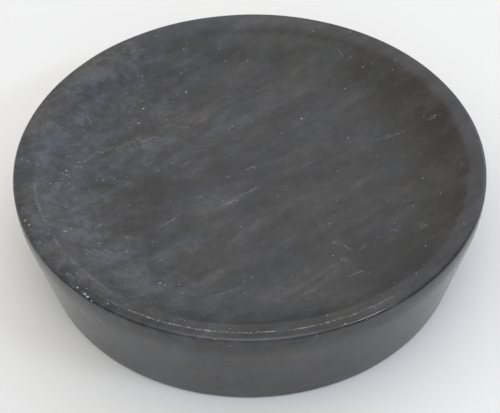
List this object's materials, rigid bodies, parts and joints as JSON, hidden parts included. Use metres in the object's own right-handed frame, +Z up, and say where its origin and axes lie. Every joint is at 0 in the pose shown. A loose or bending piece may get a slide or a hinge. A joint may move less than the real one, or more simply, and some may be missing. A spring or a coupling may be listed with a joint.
{
  "type": "go stone bowl",
  "caption": "Shallow round bowl turned from dark stone, with a thick rim, a coved hollow and felt pads under its foot, for holding captured go stones.",
  "frame": {"origin": "on the axis of the bowl, in the plane that the undersides of the felt pads rest on", "axes": "+Z up along the axis of the turned bowl; +X and +Y each pass midway between two felt pads"},
  "size_m": [0.18, 0.18, 0.0441],
  "materials": {
    "stone": "satin",
    "felt": "matte",
    "adhesive": "matte"
  },
  "bodies": {
    "root": {"stone_dish": "stone", "felt_pad_1": "felt", "felt_pad_2": "felt", "felt_pad_3": "felt", "felt_pad_4": "felt", "pad_adhesive_1": "adhesive", "pad_adhesive_2": "adhesive", "pad_adhesive_3": "adhesive", "pad_adhesive_4": "adhesive"}
  },
  "joints": []
}
